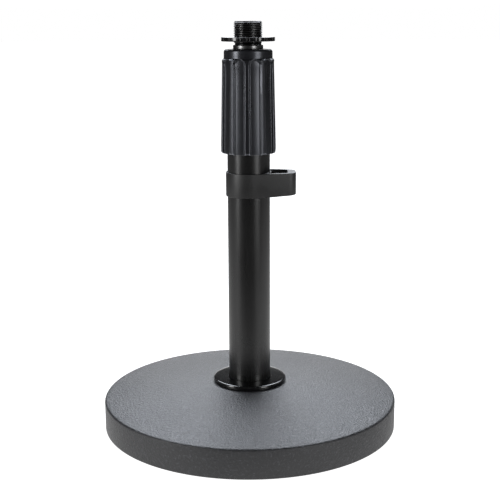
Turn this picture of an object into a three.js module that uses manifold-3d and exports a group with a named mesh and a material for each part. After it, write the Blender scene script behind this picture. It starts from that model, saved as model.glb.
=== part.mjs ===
// Desktop microphone stand: a round cast base, a fixed outer tube, a telescoping inner tube held by a
// twist clutch, a threaded top with a lock ring, and a sliding cable clip.
// Millimetres, +Z up. The origin is on the table, under the middle of the base.

import * as THREE from 'three';
import { mergeVertices } from 'three/addons/utils/BufferGeometryUtils.js';
import Module from 'manifold-3d';

const wasm = await Module();
wasm.setup();

// ---------------------------------------------------------------- driving dimensions

const GAP = 0.3;                    // clearance kept between neighbouring pieces

const BASE_RADIUS = 85;
const BASE_BOTTOM = 1.5;            // the feet lift the casting this far
const RIM_TOP = 18;
const CROWN_RISE = 9.1;             // rise of the domed top from the rim to the axis
const BASE_PLATE = 7;               // thickness of the domed plate
const RIM_WALL = 8.5;
const RIM_ROUND = 1.4;
const SEAT_RADIUS = 22.5;           // flat seat for the flange
const SEAT_Z = 26.5;
const SOCKET_FLOOR = 21.5;          // floor of the socket that locates the outer tube
const HUB_RADIUS = 22;
const HUB_BOTTOM = 14;
const BOLT_HOLE = 5.5;
const RIB_THICKNESS = 6;
const RIB_BOTTOM = 8;

const FOOT_COUNT = 4;
const FOOT_CIRCLE = 66;
const FOOT_RADIUS = 7.5;
const FOOT_HEIGHT = 2.7;
const BOSS_RADIUS = 10;

const FLANGE_RADIUS = 21.1;
const FLANGE_THICKNESS = 2.7;

const OUTER_RADIUS = 12;            // outer tube
const OUTER_BORE = 10.5;
const OUTER_TOP = 180;
const PLUG_BOTTOM = 23;
const PLUG_TOP = 42;

const BOLT_RADIUS = 4.7;
const BOLT_TOP = 38;
const BOLT_PITCH = 1.5;
const BOLT_FLATS = 17;
const HEAD_BOTTOM = 2.5;
const HEAD_TOP = 8.9;

const INNER_RADIUS = 8;             // inner tube
const INNER_BORE = 6.5;
const INNER_BOTTOM = 44;
const INNER_TOP = 217.6;
const BEAD_BOTTOM = 62;             // rolled bead above the guide bush
const BEAD_TOP = 64;
const BEAD_RADIUS = 9;
const GROOVE_BOTTOM = 45.1;
const GROOVE_TOP = 46.9;
const GROOVE_RADIUS = 7.2;

const CLUTCH_RADIUS = 10.9;         // threaded part of the clutch body
const CLUTCH_PITCH = 2;
const CLUTCH_TOP = 199.5;
const SPIGOT_BOTTOM = 166;

const GRIP_BOTTOM = 160.7;
const GRIP_TOP = 217.9;
const GRIP_BORE = 12.4;
const CAP_RADIUS = 13.5;
const CAP_BOTTOM = 213.3;
const LAND_TOP_Z = 211.7;           // the ribs are full height between these two levels
const LAND_TOP_RADIUS = 14.75;
const LAND_BOTTOM_Z = 164.9;
const LAND_BOTTOM_RADIUS = 15.75;
const FLUTE_COUNT = 10;
const FLUTE_DEPTH = 1.3;
const FLUTE_HALF_WIDTH = 3.5;
const FLUTE_ROUND_Z = 210;           // above this the flutes' ends are rounded
const FLUTE_START = THREE.MathUtils.degToRad(15.5 - 90);   // middle of the first flute

const STUD_RADIUS = 7.9375;         // 5/8 inch - 27 thread
const STUD_PITCH = 25.4 / 27;
const STUD_THREAD_DEPTH = 0.54;
const STUD_TOP = 233;
const COLLAR_RADIUS = 8.35;
const COLLAR_TOP = 220.1;
const PIN_Z = 211;
const PIN_RADIUS = 1.5;

const LOCK_BOTTOM = 222.1;
const LOCK_TOP = 224.4;
const LOCK_RADIUS = 14.9;
const LOCK_TEETH = 18;

const CLIP_BOTTOM = 136.3;
const CLIP_TOP = 149.95;
const CLIP_BORE = 12.25;
const CLIP_RING_RADIUS = 13.1;
const CLIP_END_X = 26.6;
const CLIP_END_ROUND = 5;
const CLIP_END_HALF_WIDTH = 8.6;
const CLIP_BELLY_FROM = 8;
const CLIP_BELLY_SLOPE = 0.06;

// ---------------------------------------------------------------- materials

const FINISHES = {
  powder_coat: { color: 0x55575c, roughness: 0.6, metalness: 0.25 },
  gloss_black: { color: 0x17181a, roughness: 0.18, metalness: 0.5 },
  satin_black: { color: 0x232324, roughness: 0.38, metalness: 0.4 },
  black_plated: { color: 0x1d1d1f, roughness: 0.3, metalness: 0.8 },
  zinc: { color: 0x9a9ca0, roughness: 0.35, metalness: 1 },
  nylon: { color: 0x343436, roughness: 0.5, metalness: 0 },
  natural_nylon: { color: 0xd8d5c8, roughness: 0.55, metalness: 0 },
  grip_plastic: { color: 0x1d1d22, roughness: 0.3, metalness: 0 },
  brass: { color: 0xb08d4a, roughness: 0.35, metalness: 1 },
  rubber: { color: 0x151515, roughness: 0.9, metalness: 0 },
};

// ---------------------------------------------------------------- helpers

function toSolid(geometry) {
  const bare = geometry.clone();
  bare.deleteAttribute('normal');
  bare.deleteAttribute('uv');
  const merged = mergeVertices(bare, 1e-4);
  return new wasm.Manifold(new wasm.Mesh({
    numProp: 3,
    vertProperties: Float32Array.from(merged.attributes.position.array),
    triVerts: Uint32Array.from(merged.index.array),
  }));
}

function toGeometry(solid) {
  const mesh = solid.getMesh();
  const geometry = new THREE.BufferGeometry();
  geometry.setAttribute('position', new THREE.BufferAttribute(mesh.vertProperties, 3));
  geometry.setIndex(new THREE.BufferAttribute(mesh.triVerts, 1));
  geometry.computeVertexNormals();
  return geometry;
}

function meshOf(name, finish, solid) {
  const mesh = new THREE.Mesh(toGeometry(solid), new THREE.MeshStandardMaterial(FINISHES[finish]));
  mesh.name = name;
  return mesh;
}

// A turned solid from [radius, z] points, listed upwards along the outside.
function turned(points, segments) {
  const profile = points.map(([radius, z]) => new THREE.Vector2(radius, z));
  return new THREE.LatheGeometry(profile, segments).rotateX(Math.PI / 2);
}

// A turned ring: its [radius, z] outline closes on itself.
function turnedRing(outline, segments) {
  return toSolid(turned([...outline, outline[0]], segments));
}

function plainRing(inner, outer, bottom, top, segments) {
  return turnedRing([[inner, bottom], [outer, bottom], [outer, top], [inner, top]], segments);
}

// A turned solid with a flat bottom and top that reach the axis.
function turnedBar(outline, segments) {
  const bottom = outline[0][1];
  const top = outline[outline.length - 1][1];
  return toSolid(turned([[0, bottom], ...outline, [0, top]], segments));
}

function rod(radius, bottom, top, segments) {
  return turnedBar([[radius, bottom], [radius, top]], segments);
}

function box(width, depth, height, x, y, z) {
  return toSolid(new THREE.BoxGeometry(width, depth, height).translate(x, y, z));
}

// A right-hand screw thread as one solid. Crest and root rows of points climb together along the
// helix, and the last point of each turn is the first point of the turn above it.
function threadBlank(crest, depth, pitch, bottom, top, segments) {
  const rows = 2 * (Math.ceil((top - bottom) / pitch) + 3);
  const start = bottom - 1.5 * pitch;
  const points = [];
  const addPoint = (step, row) => {
    const angle = (2 * Math.PI * step) / segments;
    const radius = row % 2 === 0 ? crest : crest - depth;
    const z = start + pitch * (row / 2 + step / segments);
    points.push(radius * Math.cos(angle), radius * Math.sin(angle), z);
  };
  for (let step = 0; step < segments; step += 1) {
    for (let row = 0; row <= rows; row += 1) {
      addPoint(step, row);
    }
  }
  const seam = segments * (rows + 1);
  addPoint(0, rows + 1);
  addPoint(0, rows + 2);
  points.push(0, 0, start + pitch / 2);
  points.push(0, 0, start + pitch * (rows / 2 + 0.5));
  const floor = seam + 2;
  const roof = seam + 3;

  const at = (step, row) => {
    if (step < segments && row <= rows) return step * (rows + 1) + row;
    if (step < segments) return seam + row - rows - 1;
    return at(0, row + 2);
  };
  const faces = [];
  for (let step = 0; step < segments; step += 1) {
    for (let row = 0; row < rows; row += 1) {
      faces.push(at(step, row), at(step + 1, row), at(step + 1, row + 1));
      faces.push(at(step, row), at(step + 1, row + 1), at(step, row + 1));
    }
    faces.push(floor, at(step + 1, 0), at(step, 0));
    faces.push(roof, at(step, rows), at(step + 1, rows));
  }
  for (let row = 0; row < 2; row += 1) {
    faces.push(floor, at(0, row), at(0, row + 1));
    faces.push(roof, at(0, rows + row + 1), at(0, rows + row));
  }
  const geometry = new THREE.BufferGeometry();
  geometry.setAttribute('position', new THREE.Float32BufferAttribute(points, 3));
  geometry.setIndex(faces);
  return toSolid(geometry);
}

// The thread cut to length, with a chamfer one thread deep at its top.
function threaded(crest, depth, pitch, bottom, top, segments) {
  const envelope = turnedBar([
    [crest + depth, bottom],
    [crest + depth, top - 2 * depth],
    [crest - depth, top],
  ], segments);
  return threadBlank(crest, depth, pitch, bottom, top, segments).intersect(envelope);
}

// ---------------------------------------------------------------- base

function crownZ(radius) {
  return RIM_TOP + CROWN_RISE * (1 - (radius / BASE_RADIUS) ** 2);
}

function baseCasting() {
  const inner = BASE_RADIUS - RIM_WALL;
  const crown = [74, 56, 38].map((radius) => [radius, crownZ(radius)]);
  const underside = [50].map((radius) => [radius, crownZ(radius) - BASE_PLATE]);
  let solid = turnedRing([
    [BOLT_HOLE, HUB_BOTTOM],
    [HUB_RADIUS, HUB_BOTTOM],
    [HUB_RADIUS, crownZ(HUB_RADIUS) - BASE_PLATE],
    ...underside,
    [inner, crownZ(inner) - BASE_PLATE],
    [inner + 1, BASE_BOTTOM],
    [BASE_RADIUS - 1, BASE_BOTTOM],
    [BASE_RADIUS - 0.2, BASE_BOTTOM + 0.9],
    [BASE_RADIUS, RIM_TOP - RIM_ROUND],
    [BASE_RADIUS - 0.35 * RIM_ROUND, RIM_TOP - 0.35 * RIM_ROUND],
    [BASE_RADIUS - 1.1 * RIM_ROUND, crownZ(BASE_RADIUS - 1.1 * RIM_ROUND)],
    ...crown,
    [SEAT_RADIUS, SEAT_Z],
    [OUTER_RADIUS + GAP, SEAT_Z],
    [OUTER_RADIUS + GAP, SOCKET_FLOOR],
    [BOLT_HOLE, SOCKET_FLOOR],
  ], 64);

  const ribStart = 17;
  const ribLength = FOOT_CIRCLE - ribStart;
  const ribTop = 19.5;
  for (let i = 0; i < FOOT_COUNT; i += 1) {
    const turn = (i + 0.5) * (360 / FOOT_COUNT);
    const rib = box(ribLength, RIB_THICKNESS, ribTop - RIB_BOTTOM,
      ribStart + ribLength / 2, 0, (ribTop + RIB_BOTTOM) / 2);
    const boss = rod(BOSS_RADIUS, BASE_BOTTOM, ribTop - 3, 28).translate([FOOT_CIRCLE, 0, 0]);
    const recess = rod(FOOT_RADIUS + GAP, 0, FOOT_HEIGHT + GAP, 28).translate([FOOT_CIRCLE, 0, 0]);
    solid = solid.add(rib.add(boss).rotate([0, 0, turn])).subtract(recess.rotate([0, 0, turn]));
  }
  return solid;
}

function rubberFoot() {
  return turnedBar([
    [FOOT_RADIUS - 0.6, 0],
    [FOOT_RADIUS, 0.6],
    [FOOT_RADIUS, FOOT_HEIGHT],
  ], 24);
}

function flangePlate() {
  const bottom = SEAT_Z;
  const top = SEAT_Z + FLANGE_THICKNESS;
  return turnedRing([
    [OUTER_RADIUS + GAP, bottom + GAP],
    [FLANGE_RADIUS, bottom + GAP],
    [FLANGE_RADIUS, top - 0.6],
    [FLANGE_RADIUS - 0.6, top],
    [OUTER_RADIUS + GAP, top],
  ], 48);
}

// ---------------------------------------------------------------- fixed outer tube and its foot

function outerTube() {
  return turnedRing([
    [OUTER_BORE, SOCKET_FLOOR + GAP],
    [OUTER_RADIUS, SOCKET_FLOOR + GAP],
    [OUTER_RADIUS, OUTER_TOP - 0.5],
    [OUTER_RADIUS - 0.5, OUTER_TOP],
    [OUTER_BORE, OUTER_TOP],
  ], 48);
}

function tubeFootPlug() {
  const radius = OUTER_BORE - GAP;
  return turnedRing([
    [BOLT_RADIUS + GAP, PLUG_BOTTOM],
    [radius, PLUG_BOTTOM],
    [radius, PLUG_TOP - 1],
    [radius - 1, PLUG_TOP],
    [BOLT_RADIUS + GAP, PLUG_TOP],
  ], 28);
}

function baseBolt() {
  const corner = BOLT_FLATS / 2 / Math.cos(Math.PI / 6);
  const hexagon = rod(corner, HEAD_BOTTOM, HEAD_TOP, 6);
  const chamfer = turnedBar([
    [corner - 1.3, HEAD_BOTTOM],
    [corner + 0.6, HEAD_BOTTOM + 1.1],
    [corner + 0.6, HEAD_TOP],
  ], 24);
  const threadStart = PLUG_BOTTOM - 1;
  const shank = rod(BOLT_RADIUS, HEAD_TOP - 1, threadStart + 0.4, 16);
  const thread = threaded(BOLT_RADIUS, 0.8, BOLT_PITCH, threadStart, BOLT_TOP, 16);
  return hexagon.intersect(chamfer).add(shank).add(thread);
}

function springWasher() {
  const ring = plainRing(BOLT_RADIUS + 0.5, 9, HEAD_TOP + GAP, 11.4, 28);
  const cut = box(8, 1.2, 8, 0, 0, 0).rotate([35, 0, 0]).translate([7, 0, 10.3]);
  return ring.subtract(cut);
}

function flatWasher() {
  return plainRing(BOLT_RADIUS + 0.5, 10.5, 11.7, HUB_BOTTOM - GAP, 28);
}

// ---------------------------------------------------------------- twist clutch

// The ferrule fixed in the outer tube's end: spigot, shoulder, male thread and inner cone.
function clutchBody() {
  const bore = INNER_RADIUS + 0.4;
  const shoulderBottom = OUTER_TOP + GAP;
  const shoulderTop = 184;
  const coneBottom = 188;
  const outside = turnedBar([
    [OUTER_BORE - GAP, SPIGOT_BOTTOM],
    [OUTER_BORE - GAP, shoulderBottom],
    [OUTER_RADIUS - 0.1, shoulderBottom],
    [OUTER_RADIUS - 0.1, shoulderTop],
    [CLUTCH_RADIUS - 0.6, shoulderTop + 0.5],
  ], 24);
  const thread = threaded(CLUTCH_RADIUS, 0.5, CLUTCH_PITCH, shoulderTop, CLUTCH_TOP, 24);
  const hollow = turnedBar([
    [bore, SPIGOT_BOTTOM - 1],
    [bore, coneBottom - GAP],
    [9.25, coneBottom],
    [10, CLUTCH_TOP],
    [10, CLUTCH_TOP + 1],
  ], 24);
  return outside.add(thread).subtract(hollow);
}

// The split tapered ring that grips the inner tube.
function clutchCollet() {
  const bottom = 188.3;
  const top = 200.2;
  let ring = turnedRing([
    [INNER_RADIUS + GAP, bottom],
    [8.95, bottom],
    [9.68, CLUTCH_TOP - 0.5],
    [9.68, top],
    [INNER_RADIUS + GAP, top],
  ], 36);
  ring = ring.subtract(box(12, 1.4, 20, 10, 0, 194));
  for (let i = 1; i < 4; i += 1) {
    const slot = box(12, 1, 9, 10, 0, bottom + 8).translate([0, 0, 4]);
    ring = ring.subtract(slot.rotate([0, 0, 90 * i]));
  }
  return ring;
}

function thrustRing() {
  return plainRing(INNER_RADIUS + 0.6, 10.7, 200.6, 202.4, 32);
}

// The threaded sleeve inside the grip: its top flange presses on the thrust ring.
function handleCore() {
  const flangeBottom = 202.7;
  const top = 206;
  return turnedRing([
    [CLUTCH_RADIUS + GAP, 186],
    [GRIP_BORE - GAP, 186],
    [GRIP_BORE - GAP, top],
    [INNER_RADIUS + 0.7, top],
    [INNER_RADIUS + 0.7, flangeBottom],
    [CLUTCH_RADIUS + GAP, flangeBottom],
  ], 32);
}

function landRadius(z) {
  const part = (z - LAND_BOTTOM_Z) / (LAND_TOP_Z - LAND_BOTTOM_Z);
  return THREE.MathUtils.lerp(LAND_BOTTOM_RADIUS, LAND_TOP_RADIUS, part);
}

// Half the width of a flute at height z: its top end is a half circle.
function fluteHalfWidth(z) {
  const past = Math.min(Math.max(0, z - FLUTE_ROUND_Z) / FLUTE_HALF_WIDTH, 0.94);
  return FLUTE_HALF_WIDTH * Math.sqrt(1 - past ** 2);
}

// The moulded handle: a round cap above ten flat-bottomed flutes with round top ends.
// Each outline row is [radius of the ribs, z, depth of the flutes].
function handleGrip() {
  const bottomRound = 1.4;
  const chamferMiddle = (LAND_TOP_Z + CAP_BOTTOM) / 2;
  const rows = [
    [CAP_RADIUS, GRIP_BOTTOM, 0],
    [landRadius(GRIP_BOTTOM) - 0.36 * bottomRound, GRIP_BOTTOM + 0.3 * bottomRound, 0.5],
    [landRadius(GRIP_BOTTOM + bottomRound), GRIP_BOTTOM + bottomRound, FLUTE_DEPTH],
    [landRadius(FLUTE_ROUND_Z), FLUTE_ROUND_Z, FLUTE_DEPTH],
    [LAND_TOP_RADIUS, LAND_TOP_Z, LAND_TOP_RADIUS - CAP_RADIUS],
    [(LAND_TOP_RADIUS + CAP_RADIUS) / 2, chamferMiddle, (LAND_TOP_RADIUS - CAP_RADIUS) / 2],
    [CAP_RADIUS, CAP_BOTTOM, 0],
    [CAP_RADIUS, GRIP_TOP - 1.6, 0],
    [CAP_RADIUS - 0.45, GRIP_TOP - 0.5, 0],
    [CAP_RADIUS - 1.6, GRIP_TOP, 0],
  ];
  const columns = [-2, -1, 0, 1, 2];      // rib edge, wall's foot, middle, wall's foot, rib edge
  const pitch = (2 * Math.PI) / FLUTE_COUNT;
  const segments = columns.length * FLUTE_COUNT;
  const geometry = turned([
    [0, GRIP_BOTTOM],
    ...rows.map(([radius, z]) => [radius, z]),
    [0, GRIP_TOP],
  ], segments);
  const position = geometry.attributes.position;
  const perColumn = rows.length + 2;
  for (let i = 0; i < position.count; i += 1) {
    const row = rows[(i % perColumn) - 1];
    if (row) {
      const [ribRadius, z, depth] = row;
      const index = Math.floor(i / perColumn) % segments;
      const column = columns[index % columns.length];
      const edge = Math.asin(fluteHalfWidth(z) / ribRadius);
      const turn = Math.sign(column) * (Math.abs(column) === 2 ? edge : 0.75 * edge);
      const angle = FLUTE_START + Math.floor(index / columns.length) * pitch + turn;
      const radius = Math.abs(column) === 2 ? ribRadius : ribRadius - depth;
      position.setXYZ(i, radius * Math.cos(angle), radius * Math.sin(angle), z);
    }
  }
  const hollow = turnedBar([
    [GRIP_BORE, GRIP_BOTTOM - 1],
    [GRIP_BORE, 206 + GAP],
    [COLLAR_RADIUS + 0.4, 206 + GAP],
    [COLLAR_RADIUS + 0.4, GRIP_TOP + 1],
  ], 40);
  return toSolid(geometry).subtract(hollow);
}

// ---------------------------------------------------------------- telescoping inner tube

function innerTube() {
  const tube = turnedRing([
    [INNER_BORE, INNER_BOTTOM],
    [INNER_RADIUS - 0.4, INNER_BOTTOM],
    [INNER_RADIUS, INNER_BOTTOM + 0.4],
    [INNER_RADIUS, GROOVE_BOTTOM],
    [GROOVE_RADIUS, GROOVE_BOTTOM],
    [GROOVE_RADIUS, GROOVE_TOP],
    [INNER_RADIUS, GROOVE_TOP],
    [INNER_RADIUS, BEAD_BOTTOM],
    [BEAD_RADIUS, BEAD_BOTTOM + 0.6],
    [BEAD_RADIUS, BEAD_TOP - 0.6],
    [INNER_RADIUS, BEAD_TOP],
    [INNER_RADIUS, INNER_TOP - 0.4],
    [INNER_RADIUS - 0.4, INNER_TOP],
    [INNER_BORE, INNER_TOP],
  ], 32);
  return tube.subtract(crossBar(PIN_RADIUS + GAP, 2 * INNER_RADIUS + 4, 16));
}

// A round bar along X through the axis, at the pin's height.
function crossBar(radius, length, segments) {
  return rod(radius, -length / 2, length / 2, segments).rotate([0, 90, 0]).translate([0, 0, PIN_Z]);
}

function guideBush() {
  const outer = OUTER_BORE - GAP;
  const bottom = GROOVE_TOP + 0.1;
  const top = BEAD_BOTTOM - GAP;
  return turnedRing([
    [INNER_RADIUS + GAP, bottom],
    [outer - 0.6, bottom],
    [outer, bottom + 1],
    [outer, top - 1],
    [outer - 0.6, top],
    [INNER_RADIUS + GAP, top],
  ], 28);
}

// An open ring in the inner tube's groove, under the guide bush.
function retainingRing() {
  const ring = plainRing(GROOVE_RADIUS + GAP, 9.6, GROOVE_BOTTOM + GAP, GROOVE_TOP - GAP, 32);
  return ring.subtract(box(8, 9, 4, 0, -9, GROOVE_BOTTOM + 1));
}

function threadAdapter() {
  const spigotBottom = 203;
  const body = turnedBar([
    [INNER_BORE - GAP - 0.6, spigotBottom],
    [INNER_BORE - GAP, spigotBottom + 0.6],
    [INNER_BORE - GAP, INNER_TOP + GAP],
    [COLLAR_RADIUS - 0.15, INNER_TOP + GAP],
    [COLLAR_RADIUS, INNER_TOP + 2 * GAP],
    [COLLAR_RADIUS, COLLAR_TOP - 0.5],
    [COLLAR_RADIUS - 0.4, COLLAR_TOP],
    [STUD_RADIUS - STUD_THREAD_DEPTH - 0.1, COLLAR_TOP + 0.1],
    [STUD_RADIUS - STUD_THREAD_DEPTH - 0.1, COLLAR_TOP + 1.2],
  ], 24);
  const thread = threaded(STUD_RADIUS, STUD_THREAD_DEPTH, STUD_PITCH, COLLAR_TOP + 0.7, STUD_TOP, 24);
  const centre = rod(2.2, STUD_TOP - 2.5, STUD_TOP + 1, 16);
  return body.add(thread).subtract(centre).subtract(crossBar(PIN_RADIUS + GAP, 30, 16));
}

function rollPin() {
  const length = 2 * INNER_RADIUS - 0.8;
  return crossBar(PIN_RADIUS, length, 16).subtract(crossBar(0.7, length + 2, 12));
}

// The serrated ring that locks whatever is screwed on the stud.
function lockRing() {
  const chamfer = 0.35;
  const blank = turnedRing([
    [STUD_RADIUS + GAP, LOCK_BOTTOM],
    [LOCK_RADIUS - chamfer, LOCK_BOTTOM],
    [LOCK_RADIUS, LOCK_BOTTOM + chamfer],
    [LOCK_RADIUS, LOCK_TOP - chamfer],
    [LOCK_RADIUS - chamfer, LOCK_TOP],
    [STUD_RADIUS + GAP, LOCK_TOP],
  ], 2 * LOCK_TEETH);
  let ring = blank;
  const notchTurn = 360 / LOCK_TEETH;
  for (let i = 0; i < LOCK_TEETH; i += 1) {
    const notch = rod(1.25, LOCK_BOTTOM - 1, LOCK_TOP + 1, 8).translate([LOCK_RADIUS, 0, 0]);
    ring = ring.subtract(notch.rotate([0, 0, (i + 0.5) * notchTurn]));
  }
  return ring;
}

// ---------------------------------------------------------------- cable clip

function arcPoints(x, y, radius, from, to, steps) {
  const points = [];
  for (let i = 0; i <= steps; i += 1) {
    const angle = THREE.MathUtils.degToRad(from + ((to - from) * i) / steps);
    points.push(new THREE.Vector2(x + radius * Math.cos(angle), y + radius * Math.sin(angle)));
  }
  return points;
}

// A ring round the outer tube that runs out into a loop for the cable. The loop's back wall is a
// springy arm from the loop's end: the cable is pressed in between the arm's tip and the ring.
// The underside climbs a little towards the loop's end.
function cableClip() {
  const cornerX = CLIP_END_X - CLIP_END_ROUND;
  const cornerY = CLIP_END_HALF_WIDTH - CLIP_END_ROUND;
  const lean = THREE.MathUtils.radToDeg(Math.asin((CLIP_RING_RADIUS - CLIP_END_HALF_WIDTH) / cornerX));
  const slope = THREE.MathUtils.degToRad(lean);
  const armOutside = (x) => (CLIP_RING_RADIUS - x * Math.sin(slope)) / Math.cos(slope);

  const frontWall = 2.5;
  const backWall = 1.5;
  const innerEnd = 21.9;
  const innerRound = 3;
  const armTip = 12.1;
  const frontCorner = THREE.MathUtils.radToDeg(Math.acos(1 - frontWall / CLIP_RING_RADIUS)) + lean - 90;
  const front = frontWall / Math.cos(slope) - armOutside(innerEnd - innerRound);
  const back = armOutside(innerEnd - innerRound) - backWall / Math.cos(slope);
  const outline = new THREE.Shape([
    new THREE.Vector2(armTip, back + 0.75),
    ...arcPoints(innerEnd - innerRound, back - innerRound, innerRound, 80, 0, 4),
    ...arcPoints(innerEnd - innerRound, front + innerRound, innerRound, 0, -80, 4),
    ...arcPoints(0, 0, CLIP_RING_RADIUS, frontCorner, 270 + lean, 46),
    ...arcPoints(cornerX, -cornerY, CLIP_END_ROUND, 270 + lean, 360, 6),
    ...arcPoints(cornerX, cornerY, CLIP_END_ROUND, 0, 90 - lean, 6),
    new THREE.Vector2(armTip, armOutside(armTip)),
  ]);
  outline.holes.push(new THREE.Path(arcPoints(0, 0, CLIP_BORE, 0, 352.5, 47)));

  const height = CLIP_TOP - CLIP_BOTTOM;
  const block = new THREE.ExtrudeGeometry(outline, { depth: height, bevelEnabled: false, curveSegments: 1 });
  const points = block.getAttribute('position');
  for (let i = 0; i < points.count; i += 1) {
    const climb = CLIP_BELLY_SLOPE * Math.max(0, points.getX(i) - CLIP_BELLY_FROM);
    if (points.getZ(i) < height / 2) points.setZ(i, climb);
  }
  return toSolid(block).translate([0, 0, CLIP_BOTTOM]);
}

// ---------------------------------------------------------------- assembly

const base = new THREE.Group();
base.add(
  meshOf('base_casting', 'powder_coat', baseCasting()),
  meshOf('flange_plate', 'gloss_black', flangePlate()),
  meshOf('outer_tube', 'satin_black', outerTube()),
  meshOf('tube_foot_plug', 'zinc', tubeFootPlug()),
  meshOf('base_bolt', 'zinc', baseBolt()),
  meshOf('spring_washer', 'zinc', springWasher()),
  meshOf('flat_washer', 'zinc', flatWasher()),
  meshOf('clutch_body', 'brass', clutchBody()),
  meshOf('clutch_collet', 'natural_nylon', clutchCollet()),
);
for (let i = 0; i < FOOT_COUNT; i += 1) {
  const foot = meshOf(`rubber_foot_${i + 1}`, 'rubber', rubberFoot());
  const angle = ((i + 0.5) * 2 * Math.PI) / FOOT_COUNT;
  foot.position.set(FOOT_CIRCLE * Math.cos(angle), FOOT_CIRCLE * Math.sin(angle), 0);
  base.add(foot);
}

const handle = new THREE.Group();
handle.add(
  meshOf('thrust_ring', 'natural_nylon', thrustRing()),
  meshOf('handle_core', 'brass', handleCore()),
  meshOf('handle_grip', 'grip_plastic', handleGrip()),
);

const mast = new THREE.Group();
mast.add(
  meshOf('guide_bush', 'natural_nylon', guideBush()),
  meshOf('inner_tube', 'satin_black', innerTube()),
  meshOf('retaining_ring', 'zinc', retainingRing()),
  meshOf('thread_adapter', 'black_plated', threadAdapter()),
  meshOf('roll_pin', 'zinc', rollPin()),
  meshOf('lock_ring', 'black_plated', lockRing()),
);

const stand = new THREE.Group();
stand.add(base, handle, mast, meshOf('cable_clip', 'nylon', cableClip()));

export default stand;
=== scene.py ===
import math

import bmesh
import bpy
from mathutils import Matrix, Vector, noise


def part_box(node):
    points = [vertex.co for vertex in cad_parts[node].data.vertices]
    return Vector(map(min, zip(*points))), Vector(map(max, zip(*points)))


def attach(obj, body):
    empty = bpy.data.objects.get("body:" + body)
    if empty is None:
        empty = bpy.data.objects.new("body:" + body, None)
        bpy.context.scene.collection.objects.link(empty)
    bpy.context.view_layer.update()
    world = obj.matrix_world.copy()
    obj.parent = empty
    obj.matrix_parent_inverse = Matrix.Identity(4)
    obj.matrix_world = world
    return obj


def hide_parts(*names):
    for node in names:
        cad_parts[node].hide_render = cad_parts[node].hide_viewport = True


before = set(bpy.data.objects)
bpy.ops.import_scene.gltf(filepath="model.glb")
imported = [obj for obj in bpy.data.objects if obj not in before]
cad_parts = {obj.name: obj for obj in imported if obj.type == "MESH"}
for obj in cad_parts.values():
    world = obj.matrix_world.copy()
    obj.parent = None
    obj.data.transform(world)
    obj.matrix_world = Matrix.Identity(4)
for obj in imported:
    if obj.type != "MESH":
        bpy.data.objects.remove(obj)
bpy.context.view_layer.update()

MM = 0.001
TAU = 2 * math.pi
WELD = 2e-7
SLIVER = 1e-7


# ---------------------------------------------------------------- outlines

def arc(centre_x, centre_y, radius, start, end, steps):
    """Points on an arc; the angles are in degrees."""
    points = []
    for i in range(steps + 1):
        angle = math.radians(start + (end - start) * i / steps)
        points.append((centre_x + radius * math.cos(angle), centre_y + radius * math.sin(angle)))
    return points


def rounded(corners, steps=4, closed=True):
    """[(x, y, corner radius)] -> [(x, y)], each corner turned into an arc."""
    points = []
    count = len(corners)
    for i, (x, y, radius) in enumerate(corners):
        if radius <= 0 or (not closed and i in (0, count - 1)):
            points.append((x, y))
            continue
        corner = Vector((x, y))
        back = Vector(corners[i - 1][:2]) - corner
        ahead = Vector(corners[(i + 1) % count][:2]) - corner
        half = back.angle(ahead) / 2
        cut = min(radius / math.tan(half), 0.49 * back.length, 0.49 * ahead.length)
        radius = cut * math.tan(half)
        start = corner + back.normalized() * cut
        centre = corner + (back.normalized() + ahead.normalized()).normalized() * (radius / math.sin(half))
        first = start - centre
        second = corner + ahead.normalized() * cut - centre
        turn = math.atan2(first.x * second.y - first.y * second.x, first.dot(second))
        for k in range(steps + 1):
            part = turn * k / steps
            points.append((
                centre.x + first.x * math.cos(part) - first.y * math.sin(part),
                centre.y + first.x * math.sin(part) + first.y * math.cos(part),
            ))
    return points


# ---------------------------------------------------------------- meshes

def piece(name, verts, faces, body, slot, nodes, sharp=32):
    """A finished mesh object that rides on its body; verts are in millimetres."""
    mesh = bpy.data.meshes.new(name)
    mesh.from_pydata([(x * MM, y * MM, z * MM) for x, y, z in verts], [], faces)
    obj = bpy.data.objects.new(name, mesh)
    bpy.context.scene.collection.objects.link(obj)
    clean(mesh, sharp)
    place(obj, body, slot, nodes)
    return obj


def clean(mesh, sharp):
    """Welds doubles, turns the faces outwards and smooths all but the sharp edges."""
    bm = bmesh.new()
    bm.from_mesh(mesh)
    bmesh.ops.remove_doubles(bm, verts=bm.verts, dist=WELD)
    bmesh.ops.dissolve_degenerate(bm, edges=bm.edges, dist=SLIVER)
    bmesh.ops.recalc_face_normals(bm, faces=bm.faces)
    bm.to_mesh(mesh)
    bm.free()
    mesh.polygons.foreach_set("use_smooth", [True] * len(mesh.polygons))
    mesh.set_sharp_from_angle(angle=math.radians(sharp))
    mesh.update()


def place(obj, body, slot, nodes):
    """Hangs an object on its body, in place of CAD nodes; the slot argument is not used."""
    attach(obj, body)
    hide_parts(*nodes)


def strips(bands, count, columns):
    """The faces between each row and the next, for rows of columns that close round the axis."""
    faces = []
    for i in range(bands):
        low, high = i * columns, ((i + 1) % count) * columns
        for c in range(columns):
            d = (c + 1) % columns
            faces.append((low + c, low + d, high + d, high + c))
    return faces


def skin(rows, columns, closed):
    """Rows of points round the Z axis, joined into one surface.

    A row is (radius, z), where the radius may be a function of the angle. A closed skin joins its
    last row to its first; an open one is capped at the axis.
    """
    verts, faces = [], []
    for radius, z in rows:
        for c in range(columns):
            angle = TAU * c / columns
            r = radius(angle) if callable(radius) else radius
            verts.append((r * math.cos(angle), r * math.sin(angle), z))
    count = len(rows)
    faces += strips(count if closed else count - 1, count, columns)
    if not closed:
        for i in (0, count - 1):
            centre = len(verts)
            verts.append((0, 0, rows[i][1]))
            for c in range(columns):
                faces.append((centre, i * columns + c, i * columns + (c + 1) % columns))
    return verts, faces


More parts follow.
